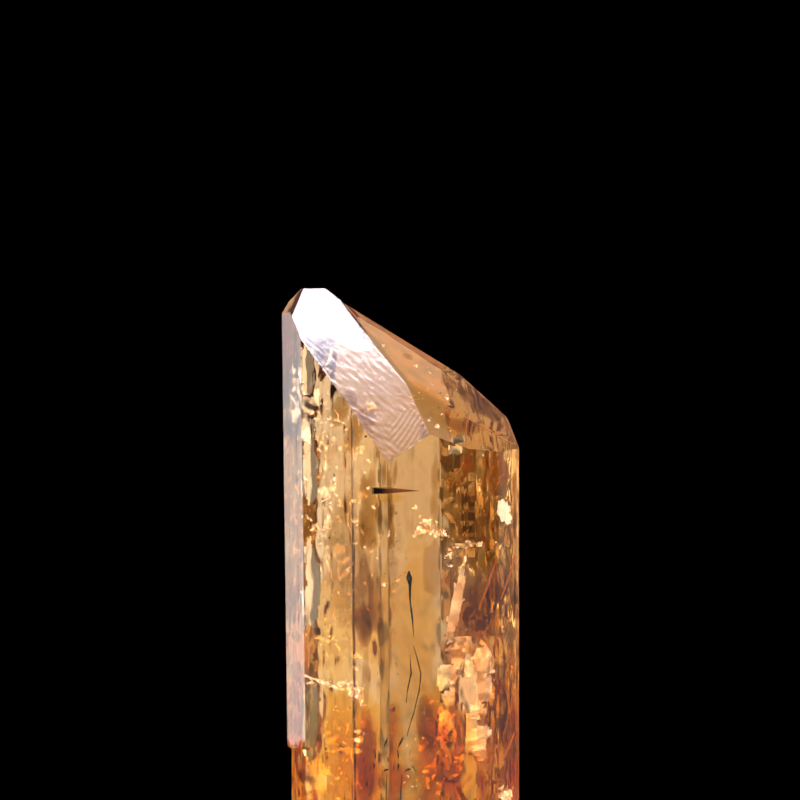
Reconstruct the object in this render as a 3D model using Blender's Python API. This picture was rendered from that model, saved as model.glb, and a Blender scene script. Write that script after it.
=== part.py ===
"""A single terminated crystal of imperial topaz, standing on its flat basal cleavage.

The crystal is one solid. Its prism is a nine-sided outline with the fine upright striations of
topaz, drawn up along +Z with a slight taper and cut off at the top by the termination faces. Each
of those is a plane with an azimuth, a dip and a point that it passes through. A re-entrant step
behind the tip, a ledge low on the left edge and an open cleavage slit across the front edge are
cut out last.
"""

import math
import random

import bmesh
import bpy
from mathutils import Matrix, Vector

MM = 0.001

# Driving dimensions, in millimetres
HEIGHT = 31.0
SHOULDER_HEIGHT = 24.0
DRAWN_HEIGHT = 34.0
CUTTER_SIZE = 60.0

# The prism's corners at the shoulder, counter-clockwise seen from above, as (x, y). The front
# looks towards -Y. Sides follow the prism forms 110 and 120 about an a axis near the front.
CORNERS = {
    "left": (-5.850, 0.455),
    "left_front": (-4.870, -0.945),
    "front": (-0.625, -4.100),
    "right_front": (3.375, -2.695),
    "right_front_end": (4.900, -1.850),
    "right": (5.925, -1.075),
    "right_back": (5.245, 1.055),
    "back": (1.055, 4.090),
    "left_back": (-3.285, 2.565),
}

# Going up, the outline grows about its right corner by this share for each millimetre
TAPER = 0.0011

# Striations: for the side that starts at each corner, the mean spacing and the most depth
STRIATIONS = {
    "left": (0.22, 0.022),
    "left_front": (0.62, 0.014),
    "front": (0.80, 0.012),
    "right_front": (0.26, 0.026),
    "right_front_end": (0.22, 0.022),
    "right": (0.30, 0.026),
    "right_back": (0.55, 0.020),
    "back": (0.60, 0.018),
    "left_back": (0.34, 0.026),
}
STRIATION_SEED = 7
RISER_WIDTH = 0.03
CORNER_MARGIN = 0.10

# Termination faces: azimuth from the front (-Y) towards the right (+X) and dip from level, both
# in degrees, and a point on the face
TERMINATION = {
    "bright_front": (0.6, 61.6, (-0.625, -4.095, 22.42)),
    "right_shoulder": (32.5, 57.2, (3.375, -2.695, 22.99)),
    "right_slope": (42.6, 46.6, (0.615, -2.119, 26.05)),
    "right_end": (81.5, 62.2, (5.225, 0.455, 24.75)),
    "back_right": (125.0, 53.5, (4.325, 0.587, 25.50)),
    "back_left": (199.4, 63.5, (-4.300, 0.800, 31.00)),
    "left_end": (-55.0, 55.4, (-5.925, 0.455, 29.70)),
    "tip": (0.0, 0.0, (0.0, 0.0, HEIGHT)),
}

# The re-entrant step behind the tip: a steep riser over a gentler back slope
STEP_FACES = {
    "step_riser": (125.0, 55.5, (-3.725, 0.540, 31.00)),
    "back_slope": (143.7, 41.4, (-2.825, 0.114, 30.25)),
}

# The ledge low on the left edge: the crystal is narrower below its overhanging shoulder
LEDGE_FACES = {
    "ledge_inset": (-92.0, 90.0, (-5.405, 0.40, 7.95)),
    "ledge_shoulder": (-92.0, 150.0, (-5.405, 0.40, 7.95)),
}

# The open cleavage slit across the front edge: level, blunt at its left end and closing towards
# the right, as (x, y, z) of the middle of its inner edge and its sizes
SLIT_CENTRE = (-0.18, -3.30, 20.93)
SLIT_LENGTH = 2.25
SLIT_REACH = 1.6
SLIT_HEIGHT = 0.20
SLIT_RIGHT_SHARE = 0.12
SLIT_INNER_SHARE = 0.45
SLIT_TURN = math.radians(-7.0)

TOPAZ_COLOUR = (0.80, 0.42, 0.14, 1.0)


def normal_of(azimuth, dip):
    """The outward normal of a face that dips towards this azimuth."""
    turn = math.radians(azimuth)
    lean = math.radians(dip)
    level = math.sin(lean)
    return Vector((math.sin(turn) * level, -math.cos(turn) * level, math.cos(lean)))


def side_points(start, end, spacing, depth, rng):
    """Points from start up to but not including end, stepping in and out as striations do."""
    start = Vector(start)
    end = Vector(end)
    along = (end - start).normalized()
    inward = Vector((-along.y, along.x))
    length = (end - start).length
    points = [start]
    place = CORNER_MARGIN
    level = 0.0
    while True:
        place += spacing * rng.uniform(0.5, 1.5)
        if place > length - CORNER_MARGIN - RISER_WIDTH:
            return points
        next_level = depth * rng.uniform(0.3, 1.0) if level == 0.0 else 0.0
        if place + spacing > length - CORNER_MARGIN:
            next_level = 0.0
        points.append(start + along * place + inward * level)
        points.append(start + along * (place + RISER_WIDTH) + inward * next_level)
        level = next_level


def striated_outline():
    """The striated outline through all corners, at the shoulder."""
    rng = random.Random(STRIATION_SEED)
    names = list(CORNERS)
    points = []
    for name, following in zip(names, names[1:] + names[:1]):
        spacing, depth = STRIATIONS[name]
        points += side_points(CORNERS[name], CORNERS[following], spacing, depth, rng)
    return points


def tapered(mesh, verts, level):
    """Scales an outline drawn at the shoulder to its size at another level."""
    right = Vector((*CORNERS["right"], 0.0))
    share = 1.0 + TAPER * (level - SHOULDER_HEIGHT)
    bmesh.ops.scale(mesh, vec=(share, share, 1.0), verts=verts, space=Matrix.Translation(-right))


def drawn_prism():
    """The striated prism, from the foot to above the tip."""
    mesh = bmesh.new()
    foot = mesh.faces.new([mesh.verts.new((*point, 0.0)) for point in striated_outline()])
    foot_verts = list(foot.verts)
    raised = bmesh.ops.extrude_face_region(mesh, geom=[foot], use_keep_orig=True)["geom"]
    top_verts = [item for item in raised if isinstance(item, bmesh.types.BMVert)]
    bmesh.ops.translate(mesh, vec=(0.0, 0.0, DRAWN_HEIGHT), verts=top_verts)
    tapered(mesh, foot_verts, 0.0)
    tapered(mesh, top_verts, DRAWN_HEIGHT)
    bmesh.ops.recalc_face_normals(mesh, faces=mesh.faces)
    return mesh


def cut_by(mesh, azimuth, dip, point):
    """Cuts away what lies outside a face and closes the mesh with that face."""
    cut = bmesh.ops.bisect_plane(
        mesh,
        geom=mesh.verts[:] + mesh.edges[:] + mesh.faces[:],
        dist=1e-5,
        plane_co=Vector(point),
        plane_no=normal_of(azimuth, dip),
        clear_outer=True,
    )["geom_cut"]
    edges = [item for item in cut if isinstance(item, bmesh.types.BMEdge)]
    if edges:
        bmesh.ops.contextual_create(mesh, geom=edges)


def object_from(mesh, name):
    """A Blender object in metres from a mesh drawn in millimetres."""
    bmesh.ops.recalc_face_normals(mesh, faces=mesh.faces)
    bmesh.ops.scale(mesh, vec=(MM, MM, MM), verts=mesh.verts)
    data = bpy.data.meshes.new(name)
    mesh.to_mesh(data)
    mesh.free()
    obj = bpy.data.objects.new(name, data)
    bpy.context.scene.collection.objects.link(obj)
    return obj


def cutter_outside(faces, name):
    """A cutter that fills the space outside all of these faces."""
    mesh = bmesh.new()
    bmesh.ops.create_cube(mesh, size=CUTTER_SIZE)
    first_point = Vector(next(iter(faces.values()))[2])
    bmesh.ops.translate(mesh, vec=first_point, verts=mesh.verts)
    for azimuth, dip, point in faces.values():
        cut_by(mesh, azimuth + 180.0, 180.0 - dip, point)
    return object_from(mesh, name)


def slit_cutter():
    """A thin level wedge, thickest at its mouth and its left end."""
    mesh = bmesh.new()
    bmesh.ops.create_cube(mesh, size=1.0)
    bmesh.ops.translate(mesh, vec=(0.0, -0.5, 0.0), verts=mesh.verts)
    bmesh.ops.scale(mesh, vec=(SLIT_LENGTH, SLIT_REACH, SLIT_HEIGHT), verts=mesh.verts)
    right_end = [vert for vert in mesh.verts if vert.co.x > 0.0]
    bmesh.ops.scale(mesh, vec=(1.0, 1.0, SLIT_RIGHT_SHARE), verts=right_end)
    inner_edge = [vert for vert in mesh.verts if vert.co.y > -SLIT_REACH / 2]
    bmesh.ops.scale(mesh, vec=(1.0, 1.0, SLIT_INNER_SHARE), verts=inner_edge)
    turn = Matrix.Rotation(SLIT_TURN, 3, "Z")
    bmesh.ops.rotate(mesh, cent=(0.0, 0.0, 0.0), matrix=turn, verts=mesh.verts)
    bmesh.ops.translate(mesh, vec=SLIT_CENTRE, verts=mesh.verts)
    return object_from(mesh, "cutter_slit")


def subtract(target, cutter):
    """Cuts one solid from the crystal and hides the cutter."""
    modifier = target.modifiers.new(cutter.name, "BOOLEAN")
    modifier.operation = "DIFFERENCE"
    modifier.solver = "EXACT"
    modifier.object = cutter
    cutter.hide_render = True
    cutter.display_type = "WIRE"


def topaz_material():
    """Clear, warm golden topaz."""
    material = bpy.data.materials.new("topaz")
    material.use_nodes = True
    shader = material.node_tree.nodes["Principled BSDF"]
    shader.inputs["Base Color"].default_value = TOPAZ_COLOUR
    shader.inputs["Roughness"].default_value = 0.04
    shader.inputs["Metallic"].default_value = 0.0
    shader.inputs["IOR"].default_value = 1.62
    shader.inputs["Transmission Weight"].default_value = 1.0
    return material


def build_crystal():
    """The whole crystal as one solid."""
    mesh = drawn_prism()
    for azimuth, dip, point in TERMINATION.values():
        cut_by(mesh, azimuth, dip, point)
    crystal = object_from(mesh, "crystal")
    crystal.data.materials.append(topaz_material())
    subtract(crystal, cutter_outside(STEP_FACES, "cutter_step"))
    subtract(crystal, cutter_outside(LEDGE_FACES, "cutter_ledge"))
    subtract(crystal, slit_cutter())


for leftover in list(bpy.data.objects):
    bpy.data.objects.remove(leftover)
build_crystal()
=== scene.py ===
"""A clear golden topaz crystal, upright on a pale table top in soft studio light."""

import math
import random

import bmesh
import bpy
from mathutils import Matrix, Vector, noise


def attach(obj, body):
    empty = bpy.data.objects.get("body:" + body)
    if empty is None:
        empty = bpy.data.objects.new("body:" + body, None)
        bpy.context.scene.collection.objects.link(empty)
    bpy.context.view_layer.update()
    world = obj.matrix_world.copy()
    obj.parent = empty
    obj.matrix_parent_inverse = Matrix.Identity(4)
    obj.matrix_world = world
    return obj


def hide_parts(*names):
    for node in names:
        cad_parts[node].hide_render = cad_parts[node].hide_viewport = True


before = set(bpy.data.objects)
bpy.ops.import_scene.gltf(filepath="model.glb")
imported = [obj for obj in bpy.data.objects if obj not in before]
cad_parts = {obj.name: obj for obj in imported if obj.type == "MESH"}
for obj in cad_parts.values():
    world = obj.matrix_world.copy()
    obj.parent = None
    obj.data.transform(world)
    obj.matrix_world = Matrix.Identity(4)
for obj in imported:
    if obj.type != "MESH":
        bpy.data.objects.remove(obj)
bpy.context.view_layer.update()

# The view: level at the crystal's upper part, through a long lens. One pixel of the photograph
# is 0.05 mm at the crystal's middle, and its lower edge cuts the crystal's foot off.
MM = 0.001
PIXEL = 0.05
HALF_FRAME = 400
VIEW_HEIGHT = 25.4
LENS = 200.0

view_data = bpy.data.cameras.new("view")
view_data.lens = LENS
view_data.clip_start = 0.005
view_data.clip_end = 10.0
VIEW_DISTANCE = PIXEL * 2 * HALF_FRAME * LENS / view_data.sensor_width
view = bpy.data.objects.new("view", view_data)
view.location = (0.0, -VIEW_DISTANCE * MM, VIEW_HEIGHT * MM)
view.rotation_euler = (math.radians(90.0), 0.0, 0.0)
bpy.context.scene.collection.objects.link(view)
bpy.context.scene.camera = view

# The crystal's outer form: one prism of topaz, nine-sided and striated upright as it grew, closed
# at the top by its termination faces and at the foot by the flat cleavage that it broke along.
# These are the CAD solid's own corners and faces, in millimetres, under a finer skin.
SHOULDER_HEIGHT = 24.0
DRAWN_HEIGHT = 31.5
ROW_SPACING = 0.17
COLUMN_SPACING = 0.14
TAPER = 0.0011
CORNERS = {
    "left": (-5.850, 0.455),
    "left_front": (-4.870, -0.945),
    "front": (-0.625, -4.100),
    "right_front": (3.375, -2.695),
    "right_front_end": (4.900, -1.850),
    "right": (5.925, -1.075),
    "right_back": (5.245, 1.055),
    "back": (1.055, 4.090),
    "left_back": (-3.285, 2.565),
}

# For the side that starts at each corner: mean spacing and most depth of its striations, then
# the height of its broad unevenness and of its etched relief
SIDES = {
    "left": (0.42, 0.006, 0.006, 0.000),
    "left_front": (0.90, 0.008, 0.004, 0.000),
    "front": (1.10, 0.006, 0.004, 0.000),
    "right_front": (0.30, 0.010, 0.004, 0.000),
    "right_front_end": (0.60, 0.008, 0.004, 0.000),
    "right": (0.50, 0.005, 0.016, 0.010),
    "right_back": (0.80, 0.006, 0.045, 0.026),
    "back": (0.90, 0.004, 0.050, 0.024),
    "left_back": (0.60, 0.005, 0.040, 0.020),
}
STRIATION_SEED = 7
STRIATION_SPACINGS = (0.5, 1.5)
STRIATION_DEPTHS = (0.3, 1.0)
RISER_WIDTH = 0.05
EDGE_WIDTH = 0.02
CORNER_MARGIN = 0.10
CORNER_FADE = 0.4

# The unevenness is noise, with so many cells for each millimetre across and upwards. The etched
# sides have ripples, a finer grain and round pits.
SWELL_CELLS = (0.55, 0.28)
SWELL_LEVEL = 0.5
RIPPLE_CELLS = (1.7, 0.9)
RIPPLE_SHIFT = (7.0, 0.0)
GRAIN_CELLS = (2.6, 2.2)
GRAIN_SHIFT = (0.0, 4.0)
GRAIN_SHARE = 0.5
PIT_CELLS = 0.9
PIT_STRETCH = 0.8
PIT_REACH = 0.40
PIT_SHARE = 1.4
ETCH_LEVEL = 0.8

# The prism's back edges are worn unevenly: how far in, and how far to each side
WORN_CORNERS = ("back", "left_back")
WEAR_DEPTH = 0.13
WEAR_REACH = 0.70
WEAR_LEVEL = 0.6
WEAR_CELLS = 0.9

# One taller striation stands out as a pale line down the left front side
LINE_PLACE = 3.00
LINE_END = 3.14
LINE_DEPTH = 0.040

TERMINATION = {
    "bright_front": (0.6, 61.6, (-0.625, -4.095, 22.42)),
    "right_shoulder": (32.5, 57.2, (3.375, -2.695, 22.99)),
    "right_slope": (42.6, 46.6, (0.615, -2.119, 26.05)),
    "right_end": (81.5, 62.2, (5.225, 0.455, 24.75)),
    "back_right": (125.0, 53.5, (4.325, 0.587, 25.50)),
    "back_left": (199.4, 63.5, (-4.300, 0.800, 31.00)),
    "left_end": (-55.0, 55.4, (-5.925, 0.455, 29.70)),
    "tip": (0.0, 0.0, (0.0, 0.0, 31.0)),
}
STEP_FACES = {
    "step_riser": (125.0, 55.5, (-3.725, 0.540, 31.00)),
    "back_slope": (143.7, 41.4, (-2.825, 0.114, 30.25)),
}
LEDGE_FACES = {
    "ledge_inset": (-92.0, 90.0, (-5.405, 0.40, 7.95)),
    "ledge_shoulder": (-92.0, 150.0, (-5.405, 0.40, 7.95)),
}

# The bright front face is very slightly bowed, as faces with growth hillocks are: so many degrees
# for each millimetre above or below its middle. It is cut as a fan of narrow flats.
BOW_RATE = 0.42
BOW_MIDDLE = 27.3
BOW_REACH = (-2.45, 1.85)
BOW_STEP = 0.36
BOW_RISE = 0.035

# Where two faces meet, the edge is worn to a narrow flat
EASED_EDGES = (
    ("bright_front", "right_slope"),
    ("bright_front", "right_shoulder"),
    ("bright_front", "left_end"),
    ("bright_front", "tip"),
    ("right_shoulder", "right_slope"),
    ("right_slope", "right_end"),
    ("right_slope", "back_right"),
    ("left_end", "tip"),
)
EASED_DEPTH = 0.022

# A cut passes through a corner that is this near to it, and a corner this near a face lies on it
SNAP = 1e-5
ON_FACE = 1e-4


def normal_of(azimuth, dip):
    """The outward normal of a face that dips towards this azimuth."""
    turn = math.radians(azimuth)
    lean = math.radians(dip)
    level = math.sin(lean)
    return Vector((math.sin(turn) * level, -math.cos(turn) * level, math.cos(lean)))


def side_points(name, start, end, rng):
    """Points along one side, stepping in and out at its striations."""
    spacing, depth = SIDES[name][:2]
    along = (end - start).normalized()
    inward = Vector((-along.y, along.x))
    length = (end - start).length
    stops = [(EDGE_WIDTH, 0.0)]
    place = CORNER_MARGIN
    level = 0.0
    while True:
        place += spacing * rng.uniform(*STRIATION_SPACINGS)
        if place > length - CORNER_MARGIN - RISER_WIDTH:
            break
        next_level = depth * rng.uniform(*STRIATION_DEPTHS) if level == 0.0 else 0.0
        if place + spacing > length - CORNER_MARGIN:
            next_level = 0.0
        stops.append((place, level))
        stops.append((place + RISER_WIDTH, next_level))
        level = next_level
    stops.append((length - EDGE_WIDTH, 0.0))
    if name == "left_front":
        clear = spacing / 3
        stops = [stop for stop in stops if not LINE_PLACE - clear < stop[0] < LINE_END + clear]
        stops += [(LINE_PLACE, LINE_DEPTH), (LINE_END, 0.0)]
        stops.sort()
    points = []
    for (here, level), (there, next_level) in zip(stops, stops[1:]):
        steps = max(1, math.ceil((there - here) / COLUMN_SPACING))
        for step in range(steps):
            share = step / steps
            offset = level + (next_level - level) * share
            points.append(start + along * (here + (there - here) * share) + inward * offset)
    points.append(start + along * stops[-1][0])
    return points


def stretched_noise(place, cells, shift=(0.0, 0.0)):
    """Noise that is drawn out along the crystal."""
    across = [value * cells[0] + offset for value, offset in zip((place.x, place.y), shift)]
    return noise.noise(Vector((*across, place.z * cells[1])))


def unevenness(place, side):
    """How far the skin lies inwards at a place on a side."""
    broad, etched = SIDES[side][2:]
    swell = stretched_noise(place, SWELL_CELLS)
    if not etched:
        return broad * (SWELL_LEVEL + swell)
    ripple = stretched_noise(place, RIPPLE_CELLS, RIPPLE_SHIFT)
    grain = stretched_noise(place, GRAIN_CELLS, GRAIN_SHIFT)
    nearest = noise.voronoi(Vector((place.x, place.y, place.z * PIT_STRETCH)) * PIT_CELLS)[0][0]
    pit = max(0.0, 1.0 - nearest / PIT_REACH)
    etch = ripple + GRAIN_SHARE * grain + PIT_SHARE * pit * pit + ETCH_LEVEL
    return broad * (SWELL_LEVEL + swell) + etched * etch


def drawn_prism():
    """The striated prism with its uneven skin, from the foot to above the tip."""
    rng = random.Random(STRIATION_SEED)
    names = list(CORNERS)
    spans = {}
    outline = []
    for name, following in zip(names, names[1:] + names[:1]):
        spans[name] = (Vector(CORNERS[name]), Vector(CORNERS[following]))
        outline += [(point, name) for point in side_points(name, *spans[name], rng)]
    mesh = bmesh.new()
    side_layer = mesh.verts.layers.int.new("side")
    foot = mesh.faces.new([mesh.verts.new((*point, 0.0)) for point, _ in outline])
    for vert, (_, name) in zip(foot.verts, outline):
        vert[side_layer] = names.index(name)
    raised = bmesh.ops.extrude_face_region(mesh, geom=[foot], use_keep_orig=True)["geom"]
    top_verts = [item for item in raised if isinstance(item, bmesh.types.BMVert)]
    bmesh.ops.translate(mesh, vec=(0.0, 0.0, DRAWN_HEIGHT), verts=top_verts)
    uprights = [edge for edge in mesh.edges if edge.verts[0].co.z != edge.verts[1].co.z]
    rows = round(DRAWN_HEIGHT / ROW_SPACING)
    bmesh.ops.subdivide_edges(mesh, edges=uprights, cuts=rows, use_grid_fill=True)
    pivot = Vector(CORNERS["right"])
    worn = [Vector(CORNERS[name]) for name in WORN_CORNERS]
    for vert in mesh.verts:
        name = names[vert[side_layer]]
        start, end = spans[name]
        along = (end - start).normalized()
        inward = Vector((-along.y, along.x))
        spot = vert.co.xy
        fade = min(1.0, min((spot - start).length, (spot - end).length) / CORNER_FADE)
        spot = spot + inward * (unevenness(vert.co, name) * fade)
        for corner in worn:
            near = max(0.0, 1.0 - (vert.co.xy - corner).length / WEAR_REACH)
            gnaw = noise.noise(Vector((corner.x, 0.0, vert.co.z * WEAR_CELLS)))
            wear = WEAR_DEPTH * (WEAR_LEVEL + gnaw)
            spot = spot - corner.normalized() * (wear * near * near)
        vert.co.xy = pivot + (spot - pivot) * (1.0 + TAPER * (vert.co.z - SHOULDER_HEIGHT))
    bmesh.ops.recalc_face_normals(mesh, faces=mesh.faces)
    return mesh


def cut_by(mesh, normal, point):
    """Cuts away what lies outside a face, closes the mesh with that face and returns it."""
    cut = bmesh.ops.bisect_plane(
        mesh,
        geom=mesh.verts[:] + mesh.edges[:] + mesh.faces[:],
        dist=SNAP,
        plane_co=point,
        plane_no=normal,
        clear_outer=True,
    )["geom_cut"]
    edges = [item for item in cut if isinstance(item, bmesh.types.BMEdge)]
    if not edges:
        return None
    return bmesh.ops.contextual_create(mesh, geom=edges)["faces"][0]


def eased(mesh, first, second):
    """Takes the edge between two termination faces off by a narrow flat."""
    one, two = normal_of(*first[:2]), normal_of(*second[:2])
    line = one.cross(two)
    rows = Matrix((one, two, line))
    reach = Vector((one.dot(Vector(first[2])), two.dot(Vector(second[2])), 0.0))
    on_edge = rows.inverted() @ reach
    normal = (one + two).normalized()
    cut_by(mesh, normal, on_edge - normal * EASED_DEPTH)


def unique(items):
    """Each item once, in the order in which they come."""
    return list(dict.fromkeys(items))


def notch_by(mesh, first, second):
    """Cuts away what lies outside both of two faces, which leaves a re-entrant corner."""
    planes = [(normal_of(azimuth, dip), Vector(point)) for azimuth, dip, point in (first, second)]
    for normal, point in planes:
        bmesh.ops.bisect_plane(
            mesh,
            geom=mesh.verts[:] + mesh.edges[:] + mesh.faces[:],
            dist=SNAP,
            plane_co=point,
            plane_no=normal,
        )

    def height(place, plane):
        return plane[0].dot(place - plane[1])

    outside = [
        face
        for face in mesh.faces
        if all(height(face.calc_center_median(), plane) > 0.0 for plane in planes)
    ]
    bmesh.ops.delete(mesh, geom=outside, context="FACES")
    rim = [edge for edge in mesh.edges if edge.is_boundary]
    turning = [
        vert
        for vert in unique(vert for edge in rim for vert in edge.verts)
        if all(abs(height(vert.co, plane)) < ON_FACE for plane in planes)
    ]
    corner = mesh.edges.new(turning)
    for plane in planes:
        loop = [
            edge for edge in rim if all(abs(height(vert.co, plane)) < ON_FACE for vert in edge.verts)
        ]
        bmesh.ops.contextual_create(mesh, geom=loop + [corner])


crystal_mesh = drawn_prism()
for name, (azimuth, dip, point) in TERMINATION.items():
    if name != "bright_front":
        cut_by(crystal_mesh, normal_of(azimuth, dip), Vector(point))
azimuth, dip, foot_point = TERMINATION["bright_front"]
fall = normal_of(azimuth, dip)
for step in range(round((BOW_REACH[1] - BOW_REACH[0]) / BOW_STEP) + 1):
    offset = BOW_REACH[0] + BOW_STEP * step
    rise = BOW_MIDDLE + offset - foot_point[2]
    point = Vector(foot_point) + Vector((0.0, -fall.z / fall.y * rise, rise)) + fall * BOW_RISE
    cut_by(crystal_mesh, normal_of(azimuth, dip - 2.0 * BOW_RATE * offset), point)
for first, second in EASED_EDGES:
    eased(crystal_mesh, TERMINATION[first], TERMINATION[second])
notch_by(crystal_mesh, *STEP_FACES.values())
notch_by(crystal_mesh, *LEDGE_FACES.values())

# Relief of the two large termination faces: the bright front face carries curled growth ripples
# and, low on its right, a run of fine terraces. The slope beside it is only gently streaked.
# Each face is cut into a grid, and its noise has so many cells for each millimetre both ways.
FRONT_PITCH = 0.075
FRONT_GRAIN = (0.66, 0.0, -0.75)
SLOPE_PITCH = 0.16
SLOPE_GRAIN = (0.8, 0.0, -0.6)
BEND_LIMIT = 0.9975
MERGE = 1e-6
FACE_SWELL_HEIGHT = 0.003
FACE_SWELL_CELLS = (0.7, 0.45)
CURL_TOP = 29.2
CURL_FADE = 5.0
CURL_HEIGHT = 0.0060
CURL_CELLS = (6.0, 1.5)
CURL_BEND = 0.8
CURL_LEAST = 0.15
FINE_CURL_CELLS = (9.5, 3.0)
FINE_CURL_SHARE = 0.6
TERRACE_STEP = 0.24
TERRACE_HEIGHT = 0.0090
TERRACE_CENTRE = Vector((0.45, 23.9))
TERRACE_REACH = 1.15
TERRACE_RIM = 3.0
TERRACE_FALL = Vector((0.826, -0.565))
TERRACE_BEND = 0.12
STREAK_HEIGHT = 0.022
STREAK_CELLS = (1.6, 0.6)

# Marks that the faces carry while one is worked. A face that gets relief carries both.
CHOSEN = 1
NEAR = 2


def mesh_from(part, name):
    """A Blender mesh from a bmesh, which is used up."""
    data = bpy.data.meshes.new(name)
    part.to_mesh(data)
    part.free()
    return data


def worked(mesh, normal, along, pitch, relief):
    """Cuts the faces that look this way into a fine grid and gives them their relief.

    The faces are worked on apart with their neighbours, then joined to the rest again."""
    mesh.normal_update()
    for face in mesh.faces:
        face.material_index = CHOSEN if face.normal.dot(normal) > BEND_LIMIT else 0
    chosen = [face for face in mesh.faces if face.material_index == CHOSEN]
    near = unique(other for face in chosen for vert in face.verts for other in vert.link_faces)
    for face in near:
        face.material_index += NEAR
    apart = mesh.copy()
    rest = [face for face in apart.faces if face.material_index < NEAR]
    bmesh.ops.delete(apart, geom=rest, context="FACES")
    bmesh.ops.delete(mesh, geom=near, context="FACES")
    across = normal.cross(along)
    for direction in (along, across):
        faces = [face for face in apart.faces if face.material_index == CHOSEN + NEAR]
        reaches = [vert.co.dot(direction) for face in faces for vert in face.verts]
        corners = unique(vert for face in faces for vert in face.verts)
        geom = faces + corners + unique(edge for face in faces for edge in face.edges)
        place = min(reaches) + pitch
        while place < max(reaches):
            result = bmesh.ops.bisect_plane(
                apart, geom=geom, dist=SNAP, plane_co=direction * place, plane_no=direction
            )
            geom = unique(result["geom"])
            place += pitch
    for vert in apart.verts:
        if all(face.material_index == CHOSEN + NEAR for face in vert.link_faces):
            vert.co += normal * relief(vert.co, along, across)
    data = mesh_from(apart, "apart")
    mesh.from_mesh(data)
    bpy.data.meshes.remove(data)
    for face in mesh.faces:
        face.material_index = 0
    rim = unique(vert for edge in mesh.edges if edge.is_boundary for vert in edge.verts)
    bmesh.ops.remove_doubles(mesh, verts=rim, dist=MERGE)


def laid_in(direction, normal):
    """A direction laid into a face."""
    direction = Vector(direction)
    return (direction - normal * direction.dot(normal)).normalized()


def face_noise(width, run, cells, layer, bend=0.0):
    """Noise on a face, drawn out along its grain. Each layer number gives another pattern."""
    return noise.noise(Vector((width * cells[0], run * cells[1] + bend, layer)))


def front_relief(place, down, across):
    """How far the bright front face stands out at a place."""
    run = place.dot(down)
    width = place.dot(across)
    swell = face_noise(width, run, FACE_SWELL_CELLS, 2.0)
    curl = face_noise(width, run, CURL_CELLS, 5.0, CURL_BEND * swell)
    curl += FINE_CURL_SHARE * face_noise(width, run, FINE_CURL_CELLS, 9.0)
    curl *= max(CURL_LEAST, min(1.0, (CURL_TOP - place.z) / CURL_FADE))
    spot = Vector((place.x, place.z))
    near = max(0.0, 1.0 - (spot - TERRACE_CENTRE).length / TERRACE_REACH)
    phase = (spot.dot(TERRACE_FALL) + TERRACE_BEND * swell) / TERRACE_STEP
    terrace = abs(2.0 * (phase % 1.0) - 1.0) - 0.5
    share = min(1.0, TERRACE_RIM * near)
    stepped = TERRACE_HEIGHT * terrace * share
    return FACE_SWELL_HEIGHT * swell + CURL_HEIGHT * curl * (1.0 - share) + stepped


def slope_relief(place, down, across):
    """How far the slope beside it stands out at a place."""
    return STREAK_HEIGHT * face_noise(place.dot(across), place.dot(down), STREAK_CELLS, 3.0)


front_normal = normal_of(*TERMINATION["bright_front"][:2])
front_down = laid_in(FRONT_GRAIN, front_normal)
worked(crystal_mesh, front_normal, front_down, FRONT_PITCH, front_relief)
slope_normal = normal_of(*TERMINATION["right_slope"][:2])
slope_down = laid_in(SLOPE_GRAIN, slope_normal)
worked(crystal_mesh, slope_normal, slope_down, SLOPE_PITCH, slope_relief)
bmesh.ops.recalc_face_normals(crystal_mesh, faces=crystal_mesh.faces)

# The open cleavage slit across the front edge: a level split, blunt at its left end and closing
# towards the right, where the stone began to part along its perfect basal cleavage.
SLIT_CENTRE = (-0.18, -3.30, 20.93)
SLIT_LENGTH = 2.25
SLIT_REACH = 1.6
SLIT_HEIGHT = 0.60
SLIT_RIGHT_SHARE = 0.06
SLIT_INNER_SHARE = 0.45
SLIT_TURN = math.radians(-7.0)


def level_wedge(length=1.0, reach=1.0, height=1.0, setback=0.0):
    """The slit's own wedge, or with other shares of its sizes, the body that fills it."""
    part = bmesh.new()
    bmesh.ops.create_cube(part, size=1.0)
    bmesh.ops.translate(part, vec=(0.0, -0.5, 0.0), verts=part.verts)
    size = (length * SLIT_LENGTH, reach * SLIT_REACH, height * SLIT_HEIGHT)
    bmesh.ops.scale(part, vec=size, verts=part.verts)
    right_end = [vert for vert in part.verts if vert.co.x > 0.0]
    bmesh.ops.scale(part, vec=(1.0, 1.0, SLIT_RIGHT_SHARE), verts=right_end)
    inner_edge = [vert for vert in part.verts if vert.co.y > -SLIT_REACH / 2]
    bmesh.ops.scale(part, vec=(1.0, 1.0, SLIT_INNER_SHARE), verts=inner_edge)
    bmesh.ops.translate(part, vec=(0.0, -setback, 0.0), verts=part.verts)
    turn = Matrix.Rotation(SLIT_TURN, 3, "Z")
    bmesh.ops.rotate(part, cent=(0.0, 0.0, 0.0), matrix=turn, verts=part.verts)
    bmesh.ops.translate(part, vec=SLIT_CENTRE, verts=part.verts)
    return part


slit_cutter = bpy.data.objects.new("slit_cutter", mesh_from(level_wedge(), "slit_cutter"))
uncut = bpy.data.objects.new("uncut_crystal", mesh_from(crystal_mesh, "uncut_crystal"))
for helper in (slit_cutter, uncut):
    bpy.context.scene.collection.objects.link(helper)
split = uncut.modifiers.new("slit", "BOOLEAN")
split.operation = "DIFFERENCE"
split.solver = "EXACT"
split.object = slit_cutter
bpy.context.view_layer.update()
cut_crystal = uncut.evaluated_get(bpy.context.evaluated_depsgraph_get())
crystal_mesh = bmesh.new()
crystal_mesh.from_mesh(cut_crystal.to_mesh())
for helper in (slit_cutter, uncut):
    bpy.data.objects.remove(helper)

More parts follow.
